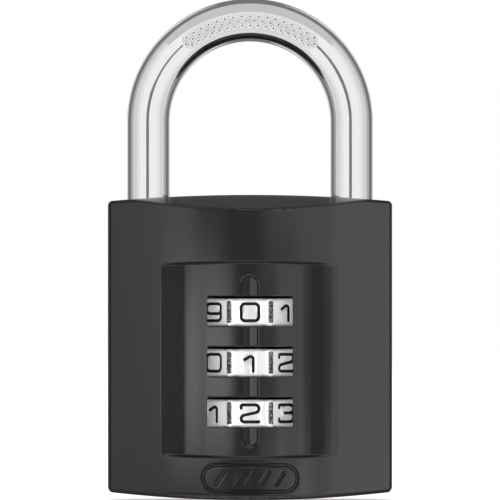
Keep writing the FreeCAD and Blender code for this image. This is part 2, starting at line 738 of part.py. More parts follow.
def bow_band():
    """The shallow arc-shaped band in the front of the bow, with round ends."""
    half = "(bow_band_outer - bow_band_inner) / 2"
    points = []
    ends = (("bow_band_outer", 1), ("bow_band_outer", -1), ("bow_band_inner", -1), ("bow_band_inner", 1))
    for radius, sign in ends:
        x = f"{sign} * {radius} * sin(bow_band_angle * 1 deg)"
        z = f"bow_height + {radius} * cos(bow_band_angle * 1 deg)"
        points.append((x, z))
    arcs = {
        0: ("bow_band_outer", True),
        1: (half, True, "half"),
        2: ("bow_band_inner", False),
        3: (half, True, "half"),
    }
    return prism("bow_band", "XZ", points, "axis_forward + bow_band_floor", "1", arcs)


def code_spindle():
    """The rod with a fin for each sleeve, and the wedge that spreads the bolts."""
    foot = ("0", AXIS_Y, "spindle_foot")
    solids = [cylinder("spindle_rod", "spindle_radius", "wedge_foot - spindle_foot", foot)]
    for dial in DIALS:
        low = f"{sleeve_foot(dial)} + sleeve_flange + fin_rest"
        corner = ("-fin_width / 2", f"{AXIS_Y} + spindle_radius / 2", low)
        high = ("fin_width / 2", f"{AXIS_Y} + fin_reach", f"{low} + fin_height")
        solids.append(box(f"fin_{dial}", corner, high))
    head = "(wedge_half - wedge_slope * wedge_height)"
    corners = [
        ("-wedge_half", "wedge_foot"),
        ("wedge_half", "wedge_foot"),
        (head, "wedge_foot + wedge_height"),
        (f"-{head}", "wedge_foot + wedge_height"),
    ]
    solids.append(prism("wedge", "XZ", corners, "axis_forward - bolt_thick / 2", "bolt_thick"))
    bore = cylinder("spindle_hollow", "spindle_bore", "spindle_bore_top - spindle_foot", foot)
    return cut("code_spindle", fuse("spindle_blank", solids), [bore])


def bolt(name, side):
    """A locking bolt: square tip in the leg's notch, inner end sloped to match the wedge."""
    inner = "wedge_half + wedge_gap"
    corners = [
        (f"{side} * bolt_tip", "wedge_foot"),
        (f"{side} * ({inner})", "wedge_foot"),
        (f"{side} * ({inner} - wedge_slope * bolt_height)", "wedge_foot + bolt_height"),
        (f"{side} * bolt_tip", "wedge_foot + bolt_height"),
    ]
    return prism(name, "XZ", corners, "axis_forward - bolt_thick / 2", "bolt_thick")


def bolt_guide_plate():
    """The plate under the bolts, slotted for the wedge."""
    low = "wedge_foot - guide_low + guide_lift"
    high = ("guide_half", "cover_inner - slip_gap", f"{low} + guide_height")
    plate = box("guide_blank", ("-guide_half", "-guide_front", low), high)
    half = "(wedge_half + 1.5 * slip_gap)"
    deep = "(bolt_thick / 2 + 1.5 * slip_gap)"
    corner = (f"-{half}", f"{AXIS_Y} - {deep}", f"{low} - 1")
    slot = box("guide_slot", corner, (half, f"{AXIS_Y} + {deep}", f"{low} + 2"))
    return cut("bolt_guide_plate", plate, [slot])


def shackle_retaining_pin():
    start = "-axis_forward - keeper_front"
    return cylinder(
        "shackle_retaining_pin", "keeper_radius", f"cover_inner - slip_gap - ({start})",
        ("-keeper_offset", start, "keeper_height"), LYING,
    )


# ---------------------------------------------------------------- dials


def number_wheel(dial):
    """A wheel of ten hollow facets, bored for its sleeve, with a notch for each digit."""
    body = doc.addObject("PartDesign::Body", f"wheel_blank_{dial}")
    rim = "wheel_chamfer"
    bore = "sleeve_radius + fit_gap"
    section = [
        (bore, "0"),
        (f"wheel_radius - {rim}", "0"),
        ("wheel_radius", rim),
        ("wheel_radius", f"wheel_height - {rim}"),
        (f"wheel_radius - {rim}", "wheel_height"),
        (bore, "wheel_height"),
    ]
    turn_section(body, sketch_on(body, "XZ"), section)
    round_pattern(body, facet_groove(body), DIGITS)
    lower = sketch_on(body, "XY")
    draw_circle(lower, "counterbore")
    pocket(body, lower, "wheel_height / 2", True)
    notch = sketch_on(body, "XY", "wheel_height / 2")
    half = "gate_width / 2"
    corners = [(f"-{half}", "0"), (half, "0"), (half, "notch_reach"), (f"-{half}", "notch_reach")]
    draw_outline(notch, corners, {})
    round_pattern(body, pocket(body, notch, "wheel_height / 2", True), DIGITS)
    put(body, ("0", AXIS_Y, wheel_foot(dial)))
    return cut(f"number_wheel_{dial}", body, [engraving(dial)])


def facet_groove(body):
    """One digit's hollow facet with flared ends, turned about an upright line in front of the wheel."""
    sketch = sketch_on(body, "YZ")
    line = "-(facet_depth + facet_radius)"
    wall = "-facet_depth"
    corners = [
        (line, "0"),
        (f"{wall} + wheel_chamfer", "0"),
        (wall, "wheel_chamfer"),
        (wall, "wheel_height - wheel_chamfer"),
        (f"{wall} + wheel_chamfer", "wheel_height"),
        (line, "wheel_height"),
    ]
    draw_outline(sketch, corners, {})
    foot, head = (Vector(value(line), height, 0) for height in (-1, 1))
    axis = sketch.addGeometry(Part.LineSegment(foot, head), True)
    sketch.addConstraint(Sketcher.Constraint("Vertical", axis))
    pin_point(sketch, axis, 1, "DistanceX", line, -2)
    groove = body.newObject("PartDesign::Groove", body.Name + "_facet")
    groove.Profile = sketch
    groove.ReferenceAxis = (sketch, ["Axis0"])
    groove.Angle = 360
    body.Tip = groove
    return groove


STROKE = 0.43
HALF_WIDE = 1.235  # half of a digit's width, to the middle of its stroke
HALF_TALL = 1.185
TURN = 0.55  # corner radius of a digit's strokes
A, B = HALF_WIDE, HALF_TALL
GLYPHS = {
    0: [([(-A, -B), (A, -B), (A, B), (-A, B)], True)],
    1: [([(-0.75, 0.45), (0.45, B), (0.45, -B)], False)],
    2: [([(-A, B - 0.45), (-A, B), (A, B), (A, 0.2), (-A, -0.35), (-A, -B), (A, -B)], False)],
    3: [
        ([(-A, B - 0.4), (-A, B), (A, B), (A, 0.05), (-0.15, 0.05)], False),
        ([(0.4, 0.05), (A, 0.05), (A, -B), (-A, -B), (-A, 0.4 - B)], False),
    ],
    4: [([(0.55, B), (-A, -0.4), (A, -0.4)], False), ([(0.1, 0.8), (0.55, B), (0.55, -B)], False)],
    5: [([(A, B), (-A, B), (-A, 0.2), (A, 0.2), (A, -B), (-A, -B)], False)],
    6: [([(-A, -B), (A, -B), (A, 0.2), (-A, 0.2)], True), ([(-A, 0), (-A, B), (A, B)], False)],
    7: [([(-A, B), (A, B), (-0.3, -B)], False)],
    8: [([(-A, -B), (A, -B), (A, 0.08), (-A, 0.08)], True), ([(-A, 0.08), (A, 0.08), (A, B), (-A, B)], True)],
    9: [([(-A, -0.2), (A, -0.2), (A, B), (-A, B)], True), ([(A, 0), (A, -B), (-A, -B)], False)],
}


def rounded_path(spots, closed):
    """A wire through flat points with its inner corners rounded."""
    spots = [Vector(x, y, 0) for x, y in spots]
    count = len(spots)
    edges = []
    pen = None
    for place, spot in enumerate(spots):
        if not closed and place in (0, count - 1):
            entry = leave = spot
        else:
            back = spots[place - 1] - spot
            ahead = spots[(place + 1) % count] - spot
            bend = back.getAngle(ahead)
            reach = min(TURN / math.tan(bend / 2), 0.48 * min(back.Length, ahead.Length))
            entry = spot + back.normalize() * reach
            leave = spot + ahead.normalize() * reach
            bow = (back + ahead).normalize()
            radius = reach * math.tan(bend / 2)
            middle = spot + bow * (radius / math.sin(bend / 2) - radius)
        if pen is not None:
            edges.append(Part.LineSegment(pen, entry).toShape())
        else:
            first = entry
        if entry is not leave:
            edges.append(Part.Arc(entry, middle, leave).toShape())
        pen = leave
    if closed:
        edges.append(Part.LineSegment(pen, first).toShape())
    return Part.Wire(edges)


def stroke_solid(spots, closed):
    """One stroke of a digit as a flat bar with round ends, from z = 0 up."""
    path = rounded_path(spots, closed)
    outer = Part.Face(path.makeOffset2D(STROKE / 2, 0, False, False, False))
    if closed:
        outer = outer.cut(Part.Face(path.makeOffset2D(-STROKE / 2, 0, False, False, False)))
    return outer.extrude(Vector(0, 0, 3))


def upright_on_front(solid, floor):
    """Turns a flat glyph to face the front, with its floor at a distance from the axis."""
    turned = solid.copy()
    turned.rotate(Vector(0, 0, 0), Vector(1, 0, 0), 90)
    turned.translate(Vector(0, -floor, 0))
    return turned


def engraving(dial):
    """The digits and the bars between them, placed round the wheel with its code digit in front."""
    digit_floor = value("facet_depth - digit_depth")
    width, height, depth = (value(f"ridge_bar_{way}") for way in ("width", "height", "depth"))
    corner = Vector(-width / 2, value("-wheel_radius") - 1, value("ridge_bar_lift") - height / 2)
    ridge_bar = Part.makeBox(width, 1 + depth, height, corner)
    tools = []
    for digit in range(DIGITS):
        angle = STEP * (digit - CODE[dial - 1])
        for spots, closed in GLYPHS[digit]:
            tool = upright_on_front(stroke_solid(spots, closed), digit_floor)
            tool.rotate(Vector(0, 0, 0), Vector(0, 0, 1), angle)
            tools.append(tool)
        bar = ridge_bar.copy()
        bar.rotate(Vector(0, 0, 0), Vector(0, 0, 1), angle + STEP / 2)
        tools.append(bar)
    thing = doc.addObject("Part::Feature", f"engraving_{dial}")
    thing.Shape = tools[0].multiFuse(tools[1:])
    return put(thing, ("0", AXIS_Y, f"{wheel_foot(dial)} + wheel_height / 2"))


def code_sleeve(dial):
    """A cup with a gate in its floor for the spindle's fin, and a tooth that drives it with its wheel."""
    hole = "spindle_radius + fit_gap"
    section = [
        (hole, "0"),
        ("sleeve_radius", "0"),
        ("sleeve_radius", "sleeve_height"),
        ("sleeve_cavity", "sleeve_height"),
        ("sleeve_cavity", "sleeve_flange"),
        (hole, "sleeve_flange"),
    ]
    cup = lathe(f"sleeve_cup_{dial}", section)
    foot = sleeve_foot(dial)
    bind(cup, "Placement.Base.z", foot)
    low = f"{wheel_foot(dial)} + wheel_height - tooth_height"
    corner = ("-tooth_width / 2", f"{AXIS_Y} + sleeve_radius - 1", low)
    high = ("tooth_width / 2", f"{AXIS_Y} + tooth_reach", f"{low} + tooth_height")
    tooth = box(f"tooth_{dial}", corner, high)
    corner = ("-gate_width / 2", f"{AXIS_Y} + spindle_radius / 2", f"{foot} - 1")
    high = ("gate_width / 2", f"{AXIS_Y} + sleeve_cavity", f"{foot} + sleeve_flange + 0.5")
    gate = box(f"gate_{dial}", corner, high)
    return cut(f"code_sleeve_{dial}", fuse(f"sleeve_blank_{dial}", [cup, tooth]), [gate])


def click_spring(dial):
    """A bent strip behind a wheel. Its middle rests in a facet and its ends lie in the rear cover."""
    tip = "click_tip_half"
    back = "click_seat + click_gauge"
    corners = [
        ("-click_half", "click_seat"),
        ("-click_reach", "click_seat"),
        (f"-{tip}", "click_tip"),
        (tip, "click_tip"),
        ("click_reach", "click_seat"),
        ("click_half", "click_seat"),
        ("click_half", back),
        ("click_reach", back),
        (tip, "click_tip + click_gauge"),
        (f"-{tip}", "click_tip + click_gauge"),
        ("-click_reach", back),
        ("-click_half", back),
    ]
    foot = f"{window_middle(dial)} - click_width / 2"
    return prism(f"click_spring_{dial}", "XY", corners, foot, "click_width")


# ---------------------------------------------------------------- code change carriage and coils


def reset_plate():
    """The disc under the stack with an arm that reaches under the long leg."""
    foot = "plate_top - plate_height"
    disc = cylinder("plate_disc", "plate_radius", "plate_height", ("0", AXIS_Y, foot))
    high = ("0", f"{AXIS_Y} + arm_half", "plate_top")
    arm = box("plate_arm", ("-arm_reach", f"{AXIS_Y} - arm_half", foot), high)
    hole = cylinder("plate_hole", "sleeve_cavity", "plate_height + 2", ("0", AXIS_Y, f"{foot} - 1"))
    return cut("reset_plate", fuse("plate_blank", [disc, arm]), [hole])


def stack_washer():
    place = ("0", AXIS_Y, "washer_foot")
    disc = cylinder("washer_disc", "plate_radius", "washer_height", place)
    return cut("stack_washer", disc, [cylinder("washer_hole", "washer_bore", "washer_height", place)])


def coil(name, mean, wire, low, high, turns):
    """A round-wire coil spring about the mechanism's axis, between two heights."""
    path = doc.addObject("Part::Helix", name + "_path")
    rise = f"(({high}) - ({low}) - 2 * {wire})"
    bind(path, "Radius", mean)
    bind(path, "Height", rise)
    bind(path, "Pitch", f"{rise} / {turns}")
    path.SegmentLength = 1
    put(path, ("0", AXIS_Y, f"{low} + {wire}"))
    section = doc.addObject("Part::Circle", name + "_wire")
    bind(section, "Radius", wire)
    put(section, (mean, AXIS_Y, f"{low} + {wire}"), ((1, 0, 0), 90))
    swept = doc.addObject("Part::Sweep", name)
    swept.Sections = [section]
    swept.Spine = (path, [])
    swept.Solid = True
    swept.Frenet = True
    return swept


def coil_springs():
    floor = "cavity_foot + coil_gap"
    plate = "plate_top - plate_height - coil_gap"
    washer = "washer_foot + washer_height + coil_gap"
    guide = "wedge_foot - guide_low + guide_lift - coil_gap"
    return [
        coil("spindle_spring", "spindle_coil", "spindle_wire", floor, "spindle_bore_top - slip_gap", 14),
        coil("stack_spring", "stack_coil", "stack_wire", washer, guide, 3),
        coil("reset_spring", "reset_coil", "reset_wire", floor, plate, 2.5),
    ]


# ---------------------------------------------------------------- assembly and export


def build():
    nodes = [body_shell(), rear_cover(), cover_rivets(), shackle(), shackle_retaining_pin()]
    nodes += [code_spindle(), bolt("heel_bolt", -1), bolt("toe_bolt", 1), bolt_guide_plate()]
    for dial in DIALS:
        nodes += [number_wheel(dial), code_sleeve(dial), click_spring(dial)]
    nodes += [reset_plate(), stack_washer()] + coil_springs()
    for node in nodes:
        node.Label = node.Name
    return nodes


def check(nodes):
    """Stops if any object failed, or if a sub-part is empty or invalid."""
    for thing in doc.Objects:
        if "Invalid" in thing.State or "Error" in thing.State:
            raise RuntimeError(f"{thing.Name} failed: {thing.State}")
    for node in nodes:
        if node.Shape.isNull() or not node.Shape.isValid():
            raise RuntimeError(f"{node.Label} is empty or invalid")


NODES = build()
doc.recompute()
check(NODES)
os.makedirs("parts", exist_ok=True)
for node in NODES:
    node.Shape.exportStep(f"parts/{node.Label}.step")
    print(node.Label, "solids", len(node.Shape.Solids), "volume", round(node.Shape.Volume, 2))
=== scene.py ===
import math

import bpy
import numpy as np
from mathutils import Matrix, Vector


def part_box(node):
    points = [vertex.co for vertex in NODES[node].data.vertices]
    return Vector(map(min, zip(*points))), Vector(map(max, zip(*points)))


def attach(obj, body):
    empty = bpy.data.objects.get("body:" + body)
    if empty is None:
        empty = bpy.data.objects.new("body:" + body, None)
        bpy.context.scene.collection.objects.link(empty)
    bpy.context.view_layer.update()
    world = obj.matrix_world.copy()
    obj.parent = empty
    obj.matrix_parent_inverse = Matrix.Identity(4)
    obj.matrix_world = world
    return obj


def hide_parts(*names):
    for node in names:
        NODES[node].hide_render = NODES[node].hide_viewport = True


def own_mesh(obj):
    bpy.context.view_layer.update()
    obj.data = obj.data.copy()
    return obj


# A three-dial padlock. Sizes in this script are in millimetres unless a name says otherwise.
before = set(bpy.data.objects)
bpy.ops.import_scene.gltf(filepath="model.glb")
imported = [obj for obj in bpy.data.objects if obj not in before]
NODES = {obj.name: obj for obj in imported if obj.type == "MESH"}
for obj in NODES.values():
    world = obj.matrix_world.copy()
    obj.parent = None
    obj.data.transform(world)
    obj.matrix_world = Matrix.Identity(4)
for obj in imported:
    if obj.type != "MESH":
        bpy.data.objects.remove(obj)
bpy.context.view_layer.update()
MM = 0.001
scene = bpy.context.scene

# case
CASE_HALF, CASE_TOP, CASE_FRONT, CASE_REAR = 20.0, 42.9, 10.7, 10.7
TOP_CROWN, FOOT_CROWN = 223.0, 182.0
CROWN_RADIUS, CROWN_HALF = 32.0, 12.9
FLANK_SLOPE = CROWN_HALF / math.sqrt(CROWN_RADIUS**2 - CROWN_HALF**2)
BEVEL_START, BEVEL_DROP = 4.0, 2.0
BEVEL_SLOPE = (CASE_FRONT - BEVEL_START) / BEVEL_DROP
REAR_FLAT_HALF, REAR_SIDE = 14.2, 5.5
SIDE_ROUND = (0.656, 0.728)  # reach and drop of the rounded front uprights
REAR_ROUND = (0.365, 0.491)
FOOT_ROUND, HEAD_ROUND = 0.8, 0.6
PANEL_FOOT, PANEL_HEAD, PANEL_BOW, LEDGE = 6.0, 33.45, 200.0, 0.62
PANEL_DEPTH, PANEL_TILT = 8.4, 0.02  # the floor in the middle, and how fast it comes forward to the right
PANEL_BLEND, LEFT_BLEND, RIGHT_BLEND = 0.7, 0.02, 0.5  # how softly the floor meets the bulge and the crown
BEVEL_BLEND, REAR_BLEND = 0.55, 0.25
DRUM_RADIUS, DRUM_DEPTH = 18.0, 10.2
GROOVE_HALF, GROOVE_FOOT, GROOVE_HEAD = 1.25, 7.2, 31.8
GROOVE_CUT, GROOVE_TILT, GROOVE_WALL = 0.55, 0.2, 0.5  # depth, lean of the floor, width of its sloping wall
BADGE_MIDDLE, BADGE_HALF, BADGE_STRAIGHT, BADGE_CUT, BADGE_LINE = 3.07, 2.1, 4.75, 0.3, 0.45
MARK_COUNT, MARK_LEAN, MARK_TALL = 5, 1.05, 0.84  # the badge's slanting strokes
WINDOW_HALF, WINDOW_TALL, WINDOW_CORNER, WINDOW_ROLL = 6.0, 2.11, 0.3, 0.12
DIAL_PITCH, DIAL_MIDDLE = 7.1, 19.46
DIALS = {1: DIAL_MIDDLE + DIAL_PITCH, 2: DIAL_MIDDLE, 3: DIAL_MIDDLE - DIAL_PITCH}
AXIS_Y = -1.0

# rooms inside the case
COVER_THICK, SEAM_DEPTH = 1.7, 0.2
COVER_ROOM = (12.95, 2.45, 41.25, 1.5)  # half width, foot, head, corners
SEAM = (13.07, 2.33, 41.37, 1.62)
WHEEL_ROOM, SLEEVE_ROOM, STACK_FOOT, STACK_HEAD = 9.9, 5.7, 3.2, 35.0
ARM_FOOT, ARM_HEAD, ARM_HALF, ARM_END, ARM_REAR_END = 5.4, 8.95, 1.6, 13.2, 12.7
BOLT_FOOT, BOLT_HEAD, BOLT_HALF, BOLT_REAR_END = 35.9, 39.1, 2.6, 9.5
WEDGE_HALF, WEDGE_HEAD = 4.6, 41.6
GUIDE_HALF, GUIDE_FRONT = 10.05, -6.05
LEG_GAP, HEEL_BORE_FOOT, TOE_BORE_GAP, BORE_HEAD = 0.1, 5.4, 0.5, 50.0
KEEPER, KEEPER_RADIUS, KEEPER_END = (-11.45, 24.0), 0.75, -4.6
RIVET_X, RIVET_Z, RIVET_RADIUS, RIVET_END = (-11.4, 11.4), (5.2, 38.4), 0.8, 4.0

# shackle
BAR, LEG, BOW_HEIGHT, HEEL_FOOT, TOE_FOOT = 3.0, 14.3, 53.2, 8.0, 30.0
NECK, NECK_FOOT, NECK_HEAD = 2.0, 10.1, 25.0
BAND_MIDDLE, BAND_HALF, BAND_FLOOR, BAND_ANGLE = 14.155, 1.195, 2.62, 36.0

NOTCH_DEPTH, NOTCH_SLOPE, NOTCH_KNEE, NOTCH_HEAD = 1.25, 0.2, 36.0, 39.05
HEEL_FLAT, HEEL_FLAT_HEAD = -13.0, 9.4
KNURL_PITCH, KNURL_LEAN, KNURL_WIDTH, KNURL_HEIGHT = 1.15, 0.9, 0.3, 0.27

# number wheels
FACET_DEPTH, FACET_RADIUS, DIGIT_DEPTH, RIDGE_FLOOR = 8.55, 6.34, 0.35, 9.45
DIGIT_STEP, RIDGE_RADIUS = math.radians(36), 9.6

# how far off a wall the metal inside still gets painted shade: its base colour is darkened by ambient
# occlusion
PAINTED_SHADE_REACH = 4.0


# ---------------------------------------------------------------- mesh helpers


def new_object(name, points, faces):
    mesh = bpy.data.meshes.new(name)
    mesh.from_pydata((np.asarray(points, dtype=float) * MM).tolist(), [], faces)
    mesh.update()
    thing = bpy.data.objects.new(name, mesh)
    scene.collection.objects.link(thing)
    return thing


def take_result(thing):
    """Keeps what the object's modifiers make, and drops the modifiers."""
    bpy.context.view_layer.update()
    made = bpy.data.meshes.new_from_object(thing.evaluated_get(bpy.context.evaluated_depsgraph_get()))
    thing.modifiers.clear()
    old, thing.data = thing.data, made
    made.name = thing.name
    bpy.data.meshes.remove(old)


def boolean(thing, tool, operation):
    step = thing.modifiers.new("step", "BOOLEAN")
    step.object = tool
    step.operation = operation
    step.solver = "MANIFOLD"
    take_result(thing)
    bpy.data.objects.remove(tool)


def smooth(thing, angle):
    """Smooth shading with sharp edges above an angle, and flats kept flat by weighted normals."""
    thing.data.shade_smooth()
    thing.data.set_sharp_from_angle(angle=math.radians(angle))
    weighted = thing.modifiers.new("weighted", "WEIGHTED_NORMAL")
    weighted.keep_sharp = True


def extruded(name, outline, low, high, axis="z"):
    """A closed prism on a flat outline, along z, or along y for an outline in x and z."""
    count = len(outline)
    if axis == "z":
        points = [(a, b, low) for a, b in outline] + [(a, b, high) for a, b in outline]
    else:
        points = [(a, high, b) for a, b in outline] + [(a, low, b) for a, b in outline]
    faces = [tuple(reversed(range(count))), tuple(range(count, 2 * count))]
    faces += [(k, (k + 1) % count, count + (k + 1) % count, count + k) for k in range(count)]
    return new_object(name, points, faces)


def box(low, high):
    outline = [(low[0], low[1]), (high[0], low[1]), (high[0], high[1]), (low[0], high[1])]
    return extruded("box", outline, low[2], high[2])


def ring(centre, radius, count=96):
    turns = [2 * math.pi * k / count for k in range(count)]
    return [(centre[0] + radius * math.cos(t), centre[1] + radius * math.sin(t)) for t in turns]


def rounded_outline(half, low, high, corner, steps=8):
    """A rectangle with round corners, turned anticlockwise."""
    outline = []
    for x, y, start in ((half, low, -90), (half, high, 0), (-half, high, 90), (-half, low, 180)):
        cx = x - math.copysign(corner, x)
        cy = low + corner if y == low else high - corner
        for k in range(steps + 1):
            turn = math.radians(start + 90 * k / steps)
            outline.append((cx + corner * math.cos(turn), cy + corner * math.sin(turn)))
    return outline


def spaced(*stops):
    """Positions from each (place, spacing) stop to the next one."""
    places = [stops[0][0]]
    for (low, step), (high, _) in zip(stops, stops[1:]):
        count = max(1, round((high - low) / step))
        places += [low + (high - low) * k / count for k in range(1, count + 1)]
    return places


def soft_min(a, b, reach):
    share = np.clip(0.5 + 0.5 * (b - a) / reach, 0, 1)
    return b * (1 - share) + a * share - reach * share * (1 - share)


def soft_max(a, b, reach):
    return -soft_min(-a, -b, reach)


def rise(value):
    """0 below 0, 1 above 1, and a smooth climb between."""
    value = np.clip(value, 0, 1)
    return value**3 * (value * (6 * value - 15) + 10)


def from_segment(x, z, start, end):
    """Distance in the front plane from a straight segment."""
    along = np.array([end[0] - start[0], end[1] - start[1]])
    share = ((x - start[0]) * along[0] + (z - start[1]) * along[1]) / (along @ along)
    share = np.clip(share, 0, 1)
    return np.hypot(x - start[0] - share * along[0], z - start[1] - share * along[1])


# ---------------------------------------------------------------- case


def case_depth(x, z):
    """Depth of the case's front at a place in the front plane, before its outer edges are rounded."""
    away = np.abs(x)
    inner = np.minimum(away, CROWN_HALF)
    crown = CASE_FRONT - CROWN_RADIUS + np.sqrt(CROWN_RADIUS**2 - inner**2) - FLANK_SLOPE * (away - inner)
    drum = DRUM_DEPTH - DRUM_RADIUS + np.sqrt(DRUM_RADIUS**2 - np.minimum(away, DRUM_RADIUS - 1) ** 2)
    flat = PANEL_DEPTH + PANEL_TILT * x
    panel = soft_max(drum, flat, PANEL_BLEND)
    panel = soft_min(panel, crown, np.where(x < 0, LEFT_BLEND, RIGHT_BLEND))
    bow = x**2 / (2 * PANEL_BOW)
    inside = rise((z - PANEL_FOOT - bow) / LEDGE + 0.5) * rise((PANEL_HEAD - bow - z) / LEDGE + 0.5)
    depth = crown + (panel - crown) * inside
    spine = from_segment(x, z, (0, GROOVE_FOOT + GROOVE_HALF), (0, GROOVE_HEAD - GROOVE_HALF))
    run = (GROOVE_HEAD - GROOVE_FOOT) / 2 - GROOVE_HALF
    past = np.clip(np.abs(z - (GROOVE_HEAD + GROOVE_FOOT) / 2) - run, 0, 1)
    cut = GROOVE_CUT - GROOVE_TILT * np.maximum(x, 0.4 * x)
    depth -= cut * rise((GROOVE_HALF + 0.1 - spine) / (GROOVE_WALL + 0.4 * past))
    for middle in DIALS.values():
        over_x = away - WINDOW_HALF + WINDOW_CORNER
        over_z = np.abs(z - middle) - WINDOW_TALL + WINDOW_CORNER
        outside = np.hypot(np.maximum(over_x, 0), np.maximum(over_z, 0))
        gap = outside + np.minimum(np.maximum(over_x, over_z), 0)
        lean = 1 - np.clip((gap - WINDOW_CORNER) / WINDOW_ROLL, 0, 1)
        depth -= WINDOW_ROLL * (1 - np.sqrt(1 - lean**2))
    badge = from_segment(x, z, (-BADGE_STRAIGHT, BADGE_MIDDLE), (BADGE_STRAIGHT, BADGE_MIDDLE))
    marks = np.abs(badge - BADGE_HALF + BADGE_LINE / 2)
    for place in range(MARK_COUNT):
        foot = (place - MARK_COUNT // 2) * BADGE_HALF - MARK_LEAN / 2
        start, end = (foot, BADGE_MIDDLE - MARK_TALL), (foot + MARK_LEAN, BADGE_MIDDLE + MARK_TALL)
        marks = np.minimum(marks, from_segment(x, z, start, end))
    depth -= BADGE_CUT * rise(1.15 - marks / (0.68 * BADGE_LINE))
    bevel = BEVEL_START + (CASE_TOP - z) * BEVEL_SLOPE
    return soft_min(depth, bevel, BEVEL_BLEND)


def rear_depth(x):
    flank = REAR_SIDE + (CASE_HALF - np.abs(x)) * (CASE_REAR - REAR_SIDE) / (CASE_HALF - REAR_FLAT_HALF)
    return soft_min(flank, np.full_like(x, CASE_REAR), REAR_BLEND)


def case_columns():
    """Places of the columns: close together at the windows' sides and the panel's left edge."""
    half = spaced(
        (0, 0.1), (5.95, 0.05), (6.45, 0.1), (7.2, 0.2), (12.4, 0.03), (12.64, 0.3), (13.8, 0.5),
        (CASE_HALF - SIDE_ROUND[0], 1),
    )
    half += [CASE_HALF - SIDE_ROUND[0] * (1 - math.sin(math.pi * k / 16)) for k in range(1, 9)]
    return np.array([-x for x in reversed(half[1:])] + half)


def case_rows():
    """Heights of the rows on the middle line: close together wherever the front has an edge."""
    foot = [FOOT_ROUND * (1 - math.sin(math.pi / 2 * (1 - k / 7))) for k in range(8)]
    stops = [(FOOT_ROUND, 0.1), (5.5, 0.05), (6.5, 0.12), (9.0, 0.3)]
    for middle in sorted(DIALS.values()):
        low, high = middle - WINDOW_TALL, middle + WINDOW_TALL
        stops += [(low - 0.25, 0.05), (low + 0.1, 0.3), (high - 0.1, 0.05), (high + 0.25, 0.3)]
    stops += [(29.8, 0.12), (32.4, 0.2), (33.0, 0.05), (33.95, 0.4), (39.8, 0.12)]
    stops += [(CASE_TOP - HEAD_ROUND, 1)]
    head = [CASE_TOP - HEAD_ROUND * (1 - math.sin(math.pi / 2 * k / 7)) for k in range(1, 8)]
    return np.array(foot[:-1] + spaced(*stops) + head)


def case_place(columns, rows, reach):
    """x and z of every grid point: rows follow the arched foot, panel edges and head."""
    x, t = np.meshgrid(columns, rows)
    bends = [1 / FOOT_CROWN, 1 / PANEL_BOW, 0, 0, -1 / PANEL_BOW, -1 / TOP_CROWN]
    bend = np.interp(t, [0, PANEL_FOOT, 9.5, 29.5, PANEL_HEAD, CASE_TOP], bends) / 2
    turn = np.clip(1 - (CASE_HALF - np.abs(x)) / reach, 0, 1)
    corner = 1 - np.sqrt(1 - turn**2)
    fade = 2.0
    low = FOOT_ROUND * corner * np.clip(1 - t / fade, 0, 1)
    high = HEAD_ROUND * corner * np.clip(1 - (CASE_TOP - t) / fade, 0, 1)
    return x, t + bend * x**2 + low - high


def edge_drop(x, z, reach, drop):
    """How far the rounded outer edges fall back from the face."""
    side = np.clip(1 - (CASE_HALF - np.abs(x)) / reach, 0, 1)
    foot = np.clip(1 - (z - x**2 / (2 * FOOT_CROWN)) / FOOT_ROUND, 0, 1)
    head = np.clip(1 - (CASE_TOP - x**2 / (2 * TOP_CROWN) - z) / HEAD_ROUND, 0, 1)
    total = side + foot + head + 1e-9
    size = (drop * side + FOOT_ROUND * foot + HEAD_ROUND * head) / total
    lean = np.clip(np.sqrt(side**2 + foot**2 + head**2), 0, 1)
    return size * (1 - np.sqrt(1 - lean**2))


def case_blank():
    """The closed case: a fine front grid, a plain rear grid, and the walls between their borders."""
    columns, rows = case_columns(), case_rows()
    x, z = case_place(columns, rows, SIDE_ROUND[0])
    front = np.stack([x, edge_drop(x, z, *SIDE_ROUND) - case_depth(x, z), z], axis=-1)
    few = np.concatenate([rows[:8], rows[-8:]])
    rear_x, rear_z = case_place(columns, few, SIDE_ROUND[0])
    rear_y = rear_depth(rear_x) - edge_drop(rear_x, rear_z, *REAR_ROUND)
    rear = np.stack([rear_x, rear_y, rear_z], axis=-1)
    wide, tall, short = len(columns), len(rows), len(few)
    front_at = np.arange(wide * tall).reshape(tall, wide)
    rear_at = front_at.size + np.arange(wide * short).reshape(short, wide)
    faces = []
    for at, flip in ((front_at, False), (rear_at, True)):
        quads = np.stack([at[:-1, :-1], at[:-1, 1:], at[1:, 1:], at[1:, :-1]], axis=-1).reshape(-1, 4)
        faces += (quads[:, ::-1] if flip else quads).tolist()
    for k in range(wide - 1):
        faces.append([front_at[0, k + 1], front_at[0, k], rear_at[0, k], rear_at[0, k + 1]])
        faces.append([front_at[-1, k], front_at[-1, k + 1], rear_at[-1, k + 1], rear_at[-1, k]])
    faces.append(list(front_at[:, 0]) + list(rear_at[::-1, 0]))
    faces.append(list(front_at[::-1, -1]) + list(rear_at[:, -1]))
    faces = [[int(corner) for corner in face] for face in faces]
    points = np.concatenate([front.reshape(-1, 3), rear.reshape(-1, 3)])
    return new_object("case", points, faces)


